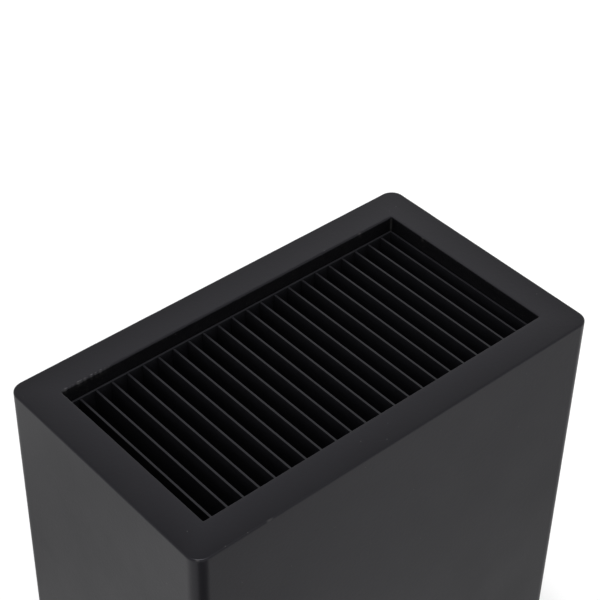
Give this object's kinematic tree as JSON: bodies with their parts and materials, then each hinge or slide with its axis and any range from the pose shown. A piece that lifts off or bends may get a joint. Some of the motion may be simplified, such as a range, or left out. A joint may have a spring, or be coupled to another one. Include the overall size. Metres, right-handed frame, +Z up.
{
  "type": "knife block",
  "caption": "Empty upright universal knife block: a matt black lacquered rectangular case with a recessed lift-out cassette of thin parallel slats that grip blades of any width.",
  "frame": {"origin": "centre of the rectangle that the block stands on, on the table", "axes": "+X along the long side, +Y across the block away from the front, +Z up"},
  "size_m": [0.22, 0.1264, 0.23],
  "materials": {
    "case_lacquer": "matt black lacquer with a very fine orange peel over board",
    "base_paint": "flat black primer over board",
    "cassette_plastic": "satin black sheet plastic",
    "foot_rubber": "matt black",
    "screw_steel": "bright zinc plated"
  },
  "bodies": {
    "case": {"front_panel": "case_lacquer", "back_panel": "case_lacquer", "left_panel": "case_lacquer", "right_panel": "case_lacquer", "base_board": "base_paint", "base_screw_1": "screw_steel", "base_screw_2": "screw_steel", "base_screw_3": "screw_steel", "base_screw_4": "screw_steel", "base_screw_5": "screw_steel", "base_screw_6": "screw_steel", "foot_front_left": "foot_rubber", "foot_front_right": "foot_rubber", "foot_back_left": "foot_rubber", "foot_back_right": "foot_rubber"},
    "cassette": {"cassette_front_wall": "cassette_plastic", "cassette_back_wall": "cassette_plastic", "cassette_left_wall": "cassette_plastic", "cassette_right_wall": "cassette_plastic", "cassette_floor": "cassette_plastic", "slat_01": "cassette_plastic", "slat_02": "cassette_plastic", "slat_03": "cassette_plastic", "slat_04": "cassette_plastic", "slat_05": "cassette_plastic", "slat_06": "cassette_plastic", "slat_07": "cassette_plastic", "slat_08": "cassette_plastic", "slat_09": "cassette_plastic", "slat_10": "cassette_plastic", "slat_11": "cassette_plastic", "slat_12": "cassette_plastic", "slat_13": "cassette_plastic", "slat_14": "cassette_plastic", "slat_15": "cassette_plastic", "slat_16": "cassette_plastic", "slat_17": "cassette_plastic", "slat_18": "cassette_plastic", "slat_19": "cassette_plastic", "slat_20": "cassette_plastic", "slat_21": "cassette_plastic", "slat_22": "cassette_plastic"}
  },
  "joints": [
    {"name": "cassette_lift", "type": "slide", "parent": "case", "child": "cassette", "axis": [0, 0, 1], "range_m": [0, 0.225]}
  ]
}
